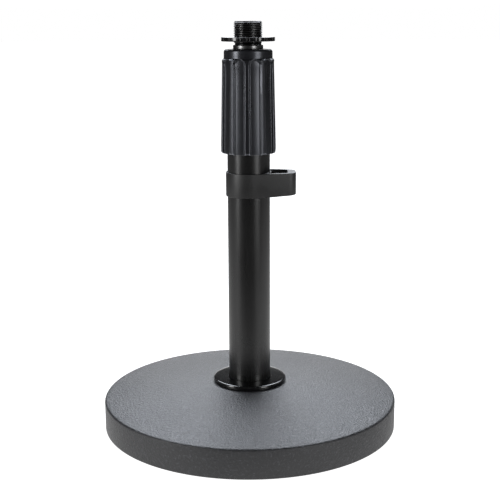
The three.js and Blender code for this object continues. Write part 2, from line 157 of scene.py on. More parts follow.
def sweep(section, start, end, steps, rise=0.0):
    """A closed section of (radius, z) carried round the Z axis from start to end degrees."""
    verts, faces = [], []
    count = len(section)
    for i in range(steps + 1):
        angle = math.radians(start + (end - start) * i / steps)
        lift = rise * (i / steps - 0.5)
        for r, z in section:
            verts.append((r * math.cos(angle), r * math.sin(angle), z + lift))
    for i in range(steps):
        for k in range(count):
            n = (k + 1) % count
            faces.append((i * count + k, (i + 1) * count + k, (i + 1) * count + n, i * count + n))
    faces.append(tuple(range(count)))
    faces.append(tuple(steps * count + k for k in reversed(range(count))))
    return verts, faces


def plate(outlines, bottom, top, edge, edge_steps=3):
    """A flat plate from 2-D outlines (the first is its outside), with rounded top and bottom edges."""
    curve = bpy.data.curves.new("plate", "CURVE")
    curve.dimensions = "2D"
    curve.fill_mode = "BOTH"
    curve.extrude = ((top - bottom) / 2 - edge) * MM
    curve.bevel_depth = edge * MM
    curve.bevel_resolution = edge_steps
    curve.offset = -edge * MM
    for outline in outlines:
        spline = curve.splines.new("POLY")
        spline.points.add(len(outline) - 1)
        for point, (x, y) in zip(spline.points, outline):
            point.co = (x * MM, y * MM, 0, 1)
        spline.use_cyclic_u = True
    holder = bpy.data.objects.new("plate", curve)
    bpy.context.scene.collection.objects.link(holder)
    graph = bpy.context.evaluated_depsgraph_get()
    made = bpy.data.meshes.new_from_object(holder.evaluated_get(graph))
    middle = (bottom + top) / 2
    verts = [(v.co.x / MM, v.co.y / MM, v.co.z / MM + middle) for v in made.vertices]
    faces = [tuple(p.vertices) for p in made.polygons]
    bpy.data.objects.remove(holder)
    bpy.data.curves.remove(curve)
    bpy.data.meshes.remove(made)
    return verts, faces


def combine(obj, cutter_mesh, operation):
    """Joins or cuts obj with another mesh, for good."""
    cutter = bpy.data.objects.new("cutter", cutter_mesh)
    bpy.context.scene.collection.objects.link(cutter)
    modifier = obj.modifiers.new("combine", "BOOLEAN")
    modifier.operation = operation
    modifier.solver = "EXACT"
    modifier.object = cutter
    graph = bpy.context.evaluated_depsgraph_get()
    made = bpy.data.meshes.new_from_object(obj.evaluated_get(graph))
    obj.modifiers.clear()
    old = obj.data
    obj.data = made
    bpy.data.meshes.remove(old)
    bpy.data.objects.remove(cutter)
    bpy.data.meshes.remove(cutter_mesh)


def raw_mesh(verts, faces, turn=0.0, shift=(0, 0)):
    """A loose closed mesh, moved sideways and then turned about Z, for use as a cutter."""
    angle = math.radians(turn)
    moved = []
    for x, y, z in verts:
        x, y = x + shift[0], y + shift[1]
        moved.append((
            (x * math.cos(angle) - y * math.sin(angle)) * MM,
            (x * math.sin(angle) + y * math.cos(angle)) * MM,
            z * MM,
        ))
    mesh = bpy.data.meshes.new("raw")
    mesh.from_pydata(moved, [], faces)
    bm = bmesh.new()
    bm.from_mesh(mesh)
    bmesh.ops.recalc_face_normals(bm, faces=bm.faces)
    bm.to_mesh(mesh)
    bm.free()
    return mesh


# ---------------------------------------------------------------- sizes, in millimetres

def span(node):
    """(largest radius, bottom, top) of a node round the Z axis, in millimetres."""
    low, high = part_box(node)
    return max(high.x, high.y) / MM, low.z / MM, high.z / MM


BASE_R, BASE_LOW, BASE_HIGH = span("base_casting")
FLANGE_R, FLANGE_LOW, FLANGE_HIGH = span("flange_plate")
TUBE_R, TUBE_LOW, TUBE_HIGH = span("outer_tube")
_, GRIP_LOW, GRIP_HIGH = span("handle_grip")
LOCK_R, LOCK_LOW, LOCK_HIGH = span("lock_ring")
STUD_COLLAR_R, STUD_LOW, STUD_HIGH = span("thread_adapter")
BEAD_R, INNER_LOW, INNER_HIGH = span("inner_tube")
FOOT_LOW, FOOT_HIGH = (c.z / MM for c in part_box("rubber_foot_1"))
FOOT_R = (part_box("rubber_foot_1")[1].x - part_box("rubber_foot_1")[0].x) / 2 / MM
FOOT_AT = [
    ((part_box(f"rubber_foot_{i}")[0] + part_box(f"rubber_foot_{i}")[1]) / 2 / MM) for i in range(1, 5)
]
CLIP_LOW, CLIP_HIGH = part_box("cable_clip")

# What a node's box doesn't give. Base casting:
RIM_TOP = 18.0
CROWN_RISE = 9.1          # from the rim to the middle, were the crown to go on under the seat
BASE_PLATE = 7.0          # the crown's thickness
RIM_WALL = 8.5
SEAT_R = 22.5
SOCKET_GAP = 0.3
SOCKET_FLOOR = 21.5
HUB_BOTTOM = 14.0
HUB_R = 22.0
BOLT_HOLE_R = 5.5
BOSS_R = 10.0
BOSS_TOP = 16.5
RIB_BOTTOM, RIB_TOP = 8.0, 19.3
CAST_WAVE = 0.05

# Tubes, stud and small parts:
OUTER_WALL = 1.5
INNER_R, INNER_BORE = 8.0, 6.5
GROOVE_R, GROOVE_LOW, GROOVE_HIGH = 7.2, 45.1, 46.9
BEAD_LOW, BEAD_HIGH = 61.8, 64.0
PIN_HOLE_R = 1.72
STUD_CREST_R = 15.875 / 2
STUD_THREAD_DEPTH = 0.56
STUD_PITCH = 25.4 / 27
STUD_COLLAR_TOP = 220.1
SPIGOT_R = 6.2
LOCK_TEETH = 18
LOCK_BORE_R = 8.2
BOLT_R = 4.7
BOLT_PITCH = 1.5
BOLT_THREAD_DEPTH = 0.8
BOLT_HEAD = 6.4
WASHER_BORE_R = 5.2


# ---------------------------------------------------------------- base

def crown(radius):
    """The height of the casting's domed top."""
    return RIM_TOP + CROWN_RISE * (1 - (radius / BASE_R) ** 2)


def cast_wave(x, y, z):
    """The slow unevenness of a casting, in millimetres."""
    wave = noise.noise(Vector((x, y, z)) / 26.0) + 0.4 * noise.noise(Vector((x, y, z)) / 9.0)
    return CAST_WAVE * wave


def base_body():
    """The casting: its turned section, slightly uneven, with ribs and bored bosses for the feet."""
    inner = BASE_R - RIM_WALL
    under_rings = [inner - 4 - i * 6 for i in range(8)]
    top_rings = [BASE_R - 3.4 - i * 2.9 for i in range(21)]
    seat_edge = [(r, crown(r), 0) for r in top_rings]
    corners = [
        (BOLT_HOLE_R, HUB_BOTTOM, 0.6),
        (HUB_R, HUB_BOTTOM, 1.2),
        (HUB_R, crown(HUB_R) - BASE_PLATE, 2.0),
        *[(r, crown(r) - BASE_PLATE, 0) for r in reversed(under_rings)],
        (inner, crown(inner) - BASE_PLATE, 2.0),
        (inner + 0.9, BASE_LOW, 0.7),
        (BASE_R - 0.1, BASE_LOW, 0.35),
        (BASE_R - 0.05, (BASE_LOW + RIM_TOP) / 2, 0),
        (BASE_R, crown(BASE_R), 1.5),
        *seat_edge,
        (SEAT_R, BASE_HIGH, 0.5),
        (TUBE_R + SOCKET_GAP, BASE_HIGH, 0.4),
        (TUBE_R + SOCKET_GAP, SOCKET_FLOOR, 0.3),
        (BOLT_HOLE_R, SOCKET_FLOOR, 0.5),
    ]
    verts, faces = skin(rounded(corners, 6), 288, True)
    waved = []
    for x, y, z in verts:
        r = math.hypot(x, y)
        if r > SEAT_R + 1 and z > BASE_LOW + 1:
            lift = cast_wave(x, y, z)
            side = 1 if r > BASE_R - 1.2 else 0
            x, y = x * (1 - side * (lift + 0.06) / r), y * (1 - side * (lift + 0.06) / r)
            z += lift * (1 - side) * min(1, (r - SEAT_R) / 8)
        waved.append((x, y, z))
    mesh = raw_mesh(waved, faces)
    obj = bpy.data.objects.new("base_body", mesh)
    bpy.context.scene.collection.objects.link(obj)
    for at in FOOT_AT:
        turn = math.degrees(math.atan2(at.y, at.x))
        reach = math.hypot(at.x, at.y)
        combine(obj, raw_mesh(*rib(reach), turn), "UNION")
        boss = skin([(BOSS_R - 1, BASE_LOW), *foot_boss()], 64, False)
        combine(obj, raw_mesh(*boss, turn, (reach, 0)), "UNION")
        recess = skin([(FOOT_R + 0.35, BASE_LOW - 2), (FOOT_R + 0.25, FOOT_HIGH + 0.3)], 64, False)
        combine(obj, raw_mesh(*recess, turn, (reach, 0)), "DIFFERENCE")
    clean(obj.data, 30)
    place(obj, "stand_base", "powder_coat", ["base_casting"])
    return obj


def foot_boss():
    """The outline of a foot's boss, from its rounded lower edge up into the casting."""
    corners = [(BOSS_R - 1, BASE_LOW, 0), (BOSS_R, BASE_LOW, 0.9), (BOSS_R + 0.5, BOSS_TOP, 0)]
    return rounded(corners, 4, False)[1:]


def rib(reach):
    """A rib from the hub to a foot's boss, with draft and rounded lower edges."""
    section = rounded([
        (-3.6, RIB_TOP, 0), (-2.6, RIB_BOTTOM, 1.1), (2.6, RIB_BOTTOM, 1.1), (3.6, RIB_TOP, 0),
    ], 4)
    verts, faces = [], []
    for x in (17.5, reach):
        verts += [(x, y, z) for y, z in section]
    count = len(section)
    for k in range(count):
        n = (k + 1) % count
        faces.append((k, n, count + n, count + k))
    faces.append(tuple(reversed(range(count))))
    faces.append(tuple(range(count, 2 * count)))
    return verts, faces


def rubber_feet():
    """Four pads with a hollow middle and a ring groove in their soles."""
    made = []
    for i, at in enumerate(FOOT_AT, 1):
        profile = rounded([
            (0.001, FOOT_LOW + 0.5, 0), (2.0, FOOT_LOW + 0.5, 0.3), (2.6, FOOT_LOW, 0.3),
            (4.0, FOOT_LOW, 0.3), (4.3, FOOT_LOW + 0.4, 0.2),
            (4.9, FOOT_LOW + 0.4, 0.2), (5.2, FOOT_LOW, 0.3),
            (FOOT_R - 0.1, FOOT_LOW, 0.7), (FOOT_R, FOOT_HIGH, 0.3), (0.001, FOOT_HIGH, 0),
        ], 4, False)
        verts, faces = skin(profile[1:-1], 64, False)
        verts = [(x + at.x, y + at.y, z) for x, y, z in verts]
        made.append(piece(
            f"rubber_pad_{i}", verts, faces, "stand_base", "foot_rubber", [f"rubber_foot_{i}"],
        ))
    return made


def flange():
    top = FLANGE_HIGH
    profile = rounded([
        (TUBE_R + 0.25, FLANGE_LOW, 0.2),
        (FLANGE_R, FLANGE_LOW, 0.25),
        (FLANGE_R, top - 0.15, 0.9),
        (FLANGE_R - 2.5, top, 0),
        (TUBE_R + 1.2, top, 0),
        (TUBE_R + 0.25, top, 0.35),
    ], 6)
    return piece("flange_ring", *skin(profile, 192, True), "stand_base", "gloss_enamel", ["flange_plate"])


# ---------------------------------------------------------------- tubes

def outer_tube():
    bore = TUBE_R - OUTER_WALL
    ring_heights = [TUBE_LOW + 12 + i * 12 for i in range(12)]
    corners = [
        (bore, TUBE_LOW, 0.2),
        (TUBE_R, TUBE_LOW, 0.3),
        *[(TUBE_R, z, 0) for z in ring_heights],
        (TUBE_R, TUBE_HIGH, 0.5),
        (bore, TUBE_HIGH, 0.3),
        *[(bore, z, 0) for z in reversed(ring_heights)],
    ]
    shape = skin(rounded(corners, 4), 160, True)
    return piece("outer_tube_body", *shape, "stand_base", "satin_enamel", ["outer_tube"])


def inner_tube():
    """The telescoping tube: groove, rolled bead, and a cross hole for the pin."""
    corners = [
        (INNER_BORE, INNER_LOW, 0.2),
        (INNER_R, INNER_LOW, 0.4),
        (INNER_R, GROOVE_LOW, 0),
        (GROOVE_R, GROOVE_LOW, 0),
        (GROOVE_R, GROOVE_HIGH, 0),
        (INNER_R, GROOVE_HIGH, 0),
        (INNER_R, BEAD_LOW, 0.5),
        (BEAD_R, BEAD_LOW + 0.7, 0.6),
        (BEAD_R, BEAD_HIGH - 0.5, 0.6),
        (INNER_R, BEAD_HIGH, 0.5),
        *[(INNER_R, BEAD_HIGH + 12 + i * 12, 0) for i in range(11)],
        (INNER_R, INNER_HIGH, 0.35),
        (INNER_BORE, INNER_HIGH, 0.2),
    ]
    shape = skin(rounded(corners, 4), 128, True)
    obj = piece("inner_tube_body", *shape, "mast", "satin_enamel", ["inner_tube"], 40)
    low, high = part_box("roll_pin")
    middle = (low.z + high.z) / 2 / MM
    verts, faces = skin([(PIN_HOLE_R, -12), (PIN_HOLE_R, 12)], 32, False)
    combine(obj, raw_mesh([(z, y, x + middle) for x, y, z in verts], faces), "DIFFERENCE")
    clean(obj.data, 35)
    return obj


def roll_pin():
    """A sprung sheet pin across the tube, open along one side."""
    low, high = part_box("roll_pin")
    middle = (low.z + high.z) / 2 / MM
    half = high.x / MM
    section = rounded([(0.85, -half, 0.1), (1.5, -half, 0.35), (1.5, half, 0.35), (0.85, half, 0.1)], 4)
    verts, faces = sweep(section, 12, 348, 40)
    verts = [(z, y, x + middle) for x, y, z in verts]
    return piece("roll_pin_body", verts, faces, "mast", "zinc_steel", ["roll_pin"])


# ---------------------------------------------------------------- threads

def thread_radius(z, crest, depth, pitch):
    """The radius of a right-hand 60 degree thread at height z, as a function of the angle."""
    def at(angle):
        phase = (z / pitch - angle / TAU) % 1.0
        slope = min(1, max(0, (min(phase, 1 - phase) * 2 - 0.10) / 0.80))
        return crest - depth * slope * slope * (3 - 2 * slope)
    return at


def thread_rows(bottom, top, crest, depth, pitch, per_pitch):
    """Heights up a thread, each with its radius function."""
    count = round((top - bottom) / pitch * per_pitch)
    for i in range(count + 1):
        z = bottom + (top - bottom) * i / count
        yield z, thread_radius(z, crest, depth, pitch)


def capped(radius, limit):
    return lambda angle: min(radius(angle), limit)


def thread_adapter():
    """The stud on its collar, with a spigot below and a centre mark in its top."""
    crest, collar_top = STUD_CREST_R, STUD_COLLAR_TOP
    root = crest - STUD_THREAD_DEPTH
    neck = INNER_HIGH + 0.3
    lower = rounded([
        (0.001, STUD_LOW, 0), (SPIGOT_R - 0.1, STUD_LOW, 0.5), (SPIGOT_R, neck, 0),
        (STUD_COLLAR_R - 0.1, neck, 0.25), (STUD_COLLAR_R, collar_top, 0.6),
        (root - 0.1, collar_top + 0.15, 0.2), (root - 0.1, collar_top + 0.8, 0),
    ], 5, False)
    rows = [(r, z) for r, z in lower[1:]]
    first, last = collar_top + 0.85, STUD_HIGH - 0.02
    for z, radius in thread_rows(first, last, crest, STUD_THREAD_DEPTH, STUD_PITCH, 12):
        lead_in = crest - max(0, z - (STUD_HIGH - 0.8)) * 0.9
        run_out = root - 0.1 + max(0, z - collar_top - 0.8) * 1.1
        rows.append((capped(radius, min(lead_in, run_out)), z))
    rows += [
        (root - 0.35, STUD_HIGH), (2.9, STUD_HIGH), (2.5, STUD_HIGH - 0.2),
        (1.2, STUD_HIGH - 1.4), (0.3, STUD_HIGH - 1.9),
    ]
    return piece("stud_adapter", *skin(rows, 96, False), "mast", "black_plated", ["thread_adapter"], 50)


def lock_ring():
    """A thin ring with square teeth; a tooth takes 0.7 of its pitch."""
    land, depth = 0.70, 1.25
    tooth = (
        (LOCK_R, 0.0, 0.35), (LOCK_R, land, 0.35),
        (LOCK_R - depth, land + 0.07, 0.3), (LOCK_R - depth, 0.93, 0.3),
    )
    outline = []
    for i in range(LOCK_TEETH):
        for r, part, corner in tooth:
            angle = TAU * (i + part - land / 2) / LOCK_TEETH
            outline.append((r * math.cos(angle), r * math.sin(angle), corner))
    bore = arc(0, 0, LOCK_BORE_R, 0, 355, 71)
    shape = plate([rounded(outline, 3), bore], LOCK_LOW, LOCK_HIGH, 0.28)
    return piece("lock_ring_body", *shape, "lock_ring_body", "black_plated", ["lock_ring"])


def base_bolt():
    """A hexagon bolt: its flanged, chamfered head below, then the shank and the thread."""
    low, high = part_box("base_bolt")
    bottom, top = low.z / MM, high.z / MM
    head = bottom + BOLT_HEAD
    flat = high.x / MM
    thread_from = 21.0

    def hexagon(limit):
        def at(angle):
            turn = (angle + math.pi / 6) % (math.pi / 3) - math.pi / 6
            return min(limit, flat / math.cos(turn))
        return at

    rows = [(0.5, bottom + 0.25), (6.2, bottom + 0.25), (6.6, bottom)]
    rows += [(hexagon(flat - 0.4 + 0.55 * k), bottom + 0.28 * k) for k in range(5)]
    rows += [(hexagon(flat + 3), bottom + 1.5), (hexagon(flat + 3), head - 0.3), (hexagon(flat + 0.6), head)]
    rows += [(BOLT_R + 0.3, head), (BOLT_R, head + 0.3), (BOLT_R, thread_from)]
    for z, radius in thread_rows(thread_from + 0.1, top, BOLT_R, BOLT_THREAD_DEPTH, BOLT_PITCH, 8):
        rows.append((capped(radius, min(BOLT_R, BOLT_R - 1 + (top - z) * 0.9)), z))
    rows.append((0.5, top))
    return piece("base_bolt_body", *skin(rows, 72, False), "stand_base", "zinc_steel", ["base_bolt"], 35)


def flat_washer():
    low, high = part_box("flat_washer")
    bottom, top, radius = low.z / MM, high.z / MM, high.x / MM
    bore = WASHER_BORE_R
    section = rounded([(bore, bottom, 0.2), (radius, bottom, 0.45), (radius, top, 0.2), (bore, top, 0.2)], 4)
    return piece("flat_washer_body", *skin(section, 96, True), "stand_base", "zinc_steel", ["flat_washer"])


def spring_washer():
    """A split ring whose ends stand a little apart in height."""
    low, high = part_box("spring_washer")
    bottom, top, radius = low.z / MM + 0.15, high.z / MM - 0.15, high.y / MM
    bore = WASHER_BORE_R
    section = rounded([(bore, bottom, 0.2), (radius, bottom, 0.3), (radius, top, 0.3), (bore, top, 0.2)], 3)
    shape = sweep(section, 6, 354, 72, 0.25)
    return piece("spring_washer_body", *shape, "stand_base", "zinc_steel", ["spring_washer"])


# ---------------------------------------------------------------- clutch handle

CAP_R = 13.5
CAP_ROUND = 1.5
CAP_BOTTOM = 213.3
CAP_BORE_BOTTOM = 206.3
LAND_TOP_Z, LAND_TOP_R = 211.7, 14.75
LAND_LOW_Z, LAND_LOW_R = 164.9, 15.75
LAND_FOOT = 1.4
GRIP_BORE = 12.4
FLUTES = 10
FLUTE_FIRST = math.radians(15.5 - 90)
FLUTE_HALF = 4.1          # from a flute's middle to the edge of a rib's top
FLUTE_WALL = 1.55         # the part of it that the wall takes, with its roundings
FLUTE_WALL_SLOPE = math.radians(76)
FLUTE_FOOT_ROUND = 0.8
FLUTE_DEPTH = 1.6
FLUTE_RUN_OUT = 0.35      # how much shallower a flute is at its top end
FLUTE_RUN_OUT_Z = 204.0
FLUTE_ROUND_Z = 209.6     # the centre of a flute's round end
FLOOR_FLATNESS = 0.35     # 0 is a floor concentric with the handle, 1 a flat one
RIB_ROUND = 0.65


def soft_min(a, b, width):
    """The smaller of two numbers, blended where they differ by less than width."""
    h = max(0.0, width - abs(a - b)) / width
    return min(a, b) - h * h * width * 0.25


def rib_radius(z):
    """The straight taper of the ribs' tops."""
    part = min(1, max(0, (z - LAND_LOW_Z) / (LAND_TOP_Z - LAND_LOW_Z)))
    return LAND_LOW_R + (LAND_TOP_R - LAND_LOW_R) * part


def land_radius(z):
    """The handle's largest radius at height z: rounded foot, ribs, chamfer, cap and its shoulder."""
    radius = rib_radius(z)
    if z > LAND_TOP_Z:
        fall = min(1, (z - LAND_TOP_Z) / (CAP_BOTTOM - LAND_TOP_Z))
        radius = LAND_TOP_R + (CAP_R - LAND_TOP_R) * (0.5 - 0.5 * math.cos(math.pi * fall))
    shoulder = z - (GRIP_HIGH - CAP_ROUND)
    if shoulder > 0:
        radius = CAP_R - CAP_ROUND + math.sqrt(max(0, CAP_ROUND ** 2 - shoulder ** 2))
    foot = LAND_FOOT - (z - GRIP_LOW)
    if foot > 0:
        radius -= LAND_FOOT * (1 - math.sqrt(max(0, 1 - (foot / LAND_FOOT) ** 2)))
    return radius


def ease(part):
    """0 to 1 with a level start and end."""
    part = min(1, max(0, part))
    return part * part * (3 - 2 * part)


def rib_drop(inwards, depth):
    """A flute's depth this far inwards from its edge: rounded edge, steep wall, rounded foot, floor."""
    slope = FLUTE_WALL_SLOPE
    edge = RIB_ROUND * math.sin(slope)
    foot = FLUTE_FOOT_ROUND * math.sin(slope)
    shelf = RIB_ROUND * (1 - math.cos(slope))
    straight = depth - shelf - FLUTE_FOOT_ROUND * (1 - math.cos(slope))
    wall = straight / math.tan(slope)
    if inwards <= 0:
        return 0.0
    if inwards < edge:
        return RIB_ROUND - math.sqrt(RIB_ROUND ** 2 - inwards ** 2)
    if inwards < edge + wall:
        return shelf + (inwards - edge) * math.tan(slope)
    if inwards < edge + wall + foot:
        left = edge + wall + foot - inwards
        return depth - FLUTE_FOOT_ROUND + math.sqrt(FLUTE_FOOT_ROUND ** 2 - left ** 2)
    return depth


def grip_radius(z):
    """The handle's outside: nearly flat-bottomed flutes with steep walls and half-round top ends."""
    land = land_radius(z)
    crest = rib_radius(z) + 0.02
    depth = FLUTE_DEPTH - FLUTE_RUN_OUT * ease((z - FLUTE_RUN_OUT_Z) / 6.0)
    past = max(0, z - FLUTE_ROUND_Z)

    def at(angle):
        turn = (angle - FLUTE_FIRST + math.pi / FLUTES) % (TAU / FLUTES) - math.pi / FLUTES
        across = math.hypot(abs(math.sin(turn)) * rib_radius(z), past)
        drop = rib_drop(FLUTE_HALF - across, depth)
        lift = FLOOR_FLATNESS * (crest - depth) * (1 / math.cos(turn) - 1) * drop / depth
        return soft_min(land, crest - drop + lift, 0.12)
    return at


def flute_angles(z):
    """The columns' angles at height z: they follow the flutes' walls, and lie closest there."""
    floor_half = FLUTE_HALF - FLUTE_WALL
    across = [floor_half * i / 4 for i in range(5)]
    across += [floor_half + FLUTE_WALL * i / 18 for i in range(1, 19)]
    turns = [math.asin(s / rib_radius(z)) for s in across]
    turns += [turns[-1] + (math.pi / FLUTES - turns[-1]) * i / 3 for i in range(1, 4)]
    sector = [-t for t in reversed(turns[1:-1])] + turns
    return [FLUTE_FIRST + TAU * k / FLUTES + turn for k in range(FLUTES) for turn in sector]


def fluted_skin(rows):
    """A closed skin like skin()'s, with its columns along the flutes."""
    verts = []
    for radius, z in rows:
        angles = flute_angles(z)
        for angle in angles:
            r = radius(angle) if callable(radius) else radius
            verts.append((r * math.cos(angle), r * math.sin(angle), z))
    return verts, strips(len(rows), len(rows), len(angles))


def handle_grip():
    """The handle; its rows lie closest at the rounded foot, the flutes' ends and the shoulder."""
    straight, ends, ends_top = 163.6, 208.5, 213.9
    heights = [GRIP_LOW + LAND_FOOT * (1 - math.cos(math.pi / 2 * i / 10)) for i in range(11)]
    heights += [straight + (ends - straight) * i / 12 for i in range(13)]
    heights += [ends + (ends_top - ends) * i / 27 for i in range(1, 28)]
    heights += [214.6, 215.4, GRIP_HIGH - CAP_ROUND]
    heights += [GRIP_HIGH - CAP_ROUND + CAP_ROUND * math.sin(math.pi / 2 * i / 7) for i in range(1, 8)]
    heights = sorted(set(heights))
    rows = [(GRIP_BORE + 0.25, GRIP_LOW)]
    rows += [(grip_radius(z), z) for z in heights[1:-1]]
    cap_inner = STUD_COLLAR_R + 0.4
    rows += [
        (CAP_R - CAP_ROUND, GRIP_HIGH), (cap_inner + 0.9, GRIP_HIGH), (cap_inner + 0.25, GRIP_HIGH - 0.12),
        (cap_inner, GRIP_HIGH - 0.5), (cap_inner, CAP_BORE_BOTTOM), (GRIP_BORE, CAP_BORE_BOTTOM),
        (GRIP_BORE, 190), (GRIP_BORE, 170), (GRIP_BORE, GRIP_LOW + 0.4),
    ]
    return piece("clutch_grip", *fluted_skin(rows), "clutch_handle", "grip_plastic", ["handle_grip"], 40)


# ---------------------------------------------------------------- cable clip

def cable_clip():
    """A ring that runs out into a loop; the loop's back wall is an arm with a free tip by the ring."""
    bore = TUBE_R + 0.12
    ring = 12.95
    end = CLIP_HIGH.x / MM
    end_round = 5.0
    half = 8.45
    corner, corner_y = end - end_round, half - end_round
    slope = math.asin((ring - half) / corner)
    lean = math.degrees(slope)
    front_wall, back_wall = 2.4, 1.45
    inner_end, inner_round = 21.9, 3.0
    arm_tip, tip_thickness = 12.15, 1.8
    belly_from, belly_slope = 8.0, 0.06

    def side(x, wall):
        return (ring - wall - x * math.sin(slope)) / math.cos(slope)

    # The loop's inside, the arm's tip, the arm's and the end's outside, then round the ring.
    front_corner = math.degrees(math.acos(1 - front_wall / ring)) + lean - 90
    inside = [
        (ring * math.cos(math.radians(front_corner)), ring * math.sin(math.radians(front_corner)), 0),
        (inner_end, -side(inner_end, front_wall), inner_round),
        (inner_end, side(inner_end, back_wall), inner_round),
        (arm_tip, side(arm_tip, tip_thickness), 0.5),
        (arm_tip, side(arm_tip, 0), 0.7),
        (corner, side(corner, 0), 0),
    ]
    outline = rounded(inside, 6, False)[:-1]
    outline += arc(corner, corner_y, end_round, 90 - lean, 0, 12)
    outline += arc(corner, -corner_y, end_round, 360, 270 + lean, 12)
    outline += arc(0, 0, ring, 270 + lean, front_corner + 1.5, 130)
    hole = arc(0, 0, bore, 0, 357.5, 143)
    bottom, top = CLIP_LOW.z / MM, CLIP_HIGH.z / MM
    verts, faces = plate([outline, hole], bottom, top, 0.4, 4)
    middle = (bottom + top) / 2
    verts = [(x, y, z + (belly_slope * max(0, x - belly_from) if z < middle else 0)) for x, y, z in verts]
    return piece("cable_clip_body", verts, faces, "cable_clip_body", "clip_nylon", ["cable_clip"], 35)


# ---------------------------------------------------------------- materials

class Nodes:
    """A small helper that adds and links a material's nodes."""

    def __init__(self, name):
        self.material = bpy.data.materials.new(name)
        self.material.use_nodes = True
        self.tree = self.material.node_tree
        self.shader = self.tree.nodes["Principled BSDF"]
        self.place = self.tree.nodes.new("ShaderNodeTexCoord").outputs["Object"]

    def stretched(self, scale):
        mapping = self.tree.nodes.new("ShaderNodeMapping")
        mapping.inputs["Scale"].default_value = scale
        self.tree.links.new(self.place, mapping.inputs["Vector"])
        return mapping.outputs["Vector"]

    def noise(self, scale, detail=2.0, roughness=0.5, place=None):
        node = self.tree.nodes.new("ShaderNodeTexNoise")
        node.inputs["Scale"].default_value = scale
        node.inputs["Detail"].default_value = detail
        node.inputs["Roughness"].default_value = roughness
        self.tree.links.new(place or self.place, node.inputs["Vector"])
        return node.outputs["Fac"]

    def split(self):
        node = self.tree.nodes.new("ShaderNodeSeparateXYZ")
        self.tree.links.new(self.place, node.inputs["Vector"])
        return node.outputs

    def length(self, vector):
        node = self.tree.nodes.new("ShaderNodeVectorMath")
        node.operation = "LENGTH"
        self.tree.links.new(vector, node.inputs[0])
        return node.outputs["Value"]

    def remap(self, value, low, high, to_low, to_high):
        node = self.tree.nodes.new("ShaderNodeMapRange")
        numbers = (low, high, to_low, to_high)
        for name, number in zip(("From Min", "From Max", "To Min", "To Max"), numbers):
            node.inputs[name].default_value = number
        self.tree.links.new(value, node.inputs["Value"])
        return node.outputs["Result"]

    def math(self, operation, a, b):
        node = self.tree.nodes.new("ShaderNodeMath")
        node.operation = operation
        for socket, value in zip(node.inputs, (a, b)):
            if isinstance(value, (int, float)):
                socket.default_value = value
            else:
                self.tree.links.new(value, socket)
        return node.outputs["Value"]

    def mix(self, factor, first, second):
        node = self.tree.nodes.new("ShaderNodeMix")
        node.data_type = "RGBA"
        self.tree.links.new(factor, node.inputs["Factor"])
        for socket, colour in (("A", first), ("B", second)):
            target = [s for s in node.inputs if s.name == socket and s.type == "RGBA"][0]
            if isinstance(colour, tuple):
                target.default_value = (*colour, 1)
            else:
                self.tree.links.new(colour, target)
        return [s for s in node.outputs if s.type == "RGBA"][0]

    def bump(self, height, strength, distance, below=None):
        node = self.tree.nodes.new("ShaderNodeBump")
        node.inputs["Strength"].default_value = strength
        node.inputs["Distance"].default_value = distance
        self.tree.links.new(height, node.inputs["Height"])
        if below is not None:
            self.tree.links.new(below, node.inputs["Normal"])
        return node.outputs["Normal"]

    def set(self, **values):
        for name, value in values.items():
            socket = self.shader.inputs[name.replace("_", " ")]
            if isinstance(value, (int, float)):
                socket.default_value = value
            elif isinstance(value, tuple):
                socket.default_value = (*value, 1)
            else:
                self.tree.links.new(value, socket)
        return self.material


def powder_coat():
    """Black sand-textured powder coat: coarse grains, finer grit between them, paler specks on top."""
    n = Nodes("powder_coat")
    grit = n.noise(1500, 3, 0.6)
    grain = n.noise(780, 3, 0.62)
    broad = n.noise(18, 3, 0.55)
    height = n.math("ADD", n.math("MULTIPLY", grain, 1.0), n.math("MULTIPLY", grit, 0.45))
    normal = n.bump(height, 0.9, 0.00042)
    speck = n.remap(height, 0.78, 1.0, 0, 1)
    colour = n.mix(speck, (0.0135, 0.0140, 0.0162), (0.048, 0.049, 0.056))
    roughness = n.math("ADD", n.remap(broad, 0.3, 0.7, 0.40, 0.46), n.remap(grain, 0.3, 0.7, 0.06, -0.06))
    return n.set(Base_Color=colour, Roughness=roughness, Normal=normal, Specular_IOR_Level=0.7)


def enamel(name, colour, light, roughness, peel_depth):
    """Black enamel with orange peel, faint marks along the tube and a little dust."""
    n = Nodes(name)
    peel = n.noise(420, 2, 0.45)
    drawn = n.noise(60, 3, 0.6, n.stretched((14, 14, 0.25)))
    dust = n.noise(2600, 2, 0.6)
    broad = n.noise(30, 2, 0.5)
    normal = n.bump(peel, 0.25, peel_depth)
    normal = n.bump(drawn, 0.12, 0.00003, normal)
    shade = n.mix(n.remap(dust, 0.55, 0.75, 0, 1), colour, light)
    uneven = n.remap(broad, 0.3, 0.7, roughness - 0.03, roughness + 0.03)
    rough = n.math("ADD", uneven, n.remap(drawn, 0.3, 0.7, -0.02, 0.02))
    return n.set(Base_Color=shade, Roughness=rough, Normal=normal, Specular_IOR_Level=0.9)


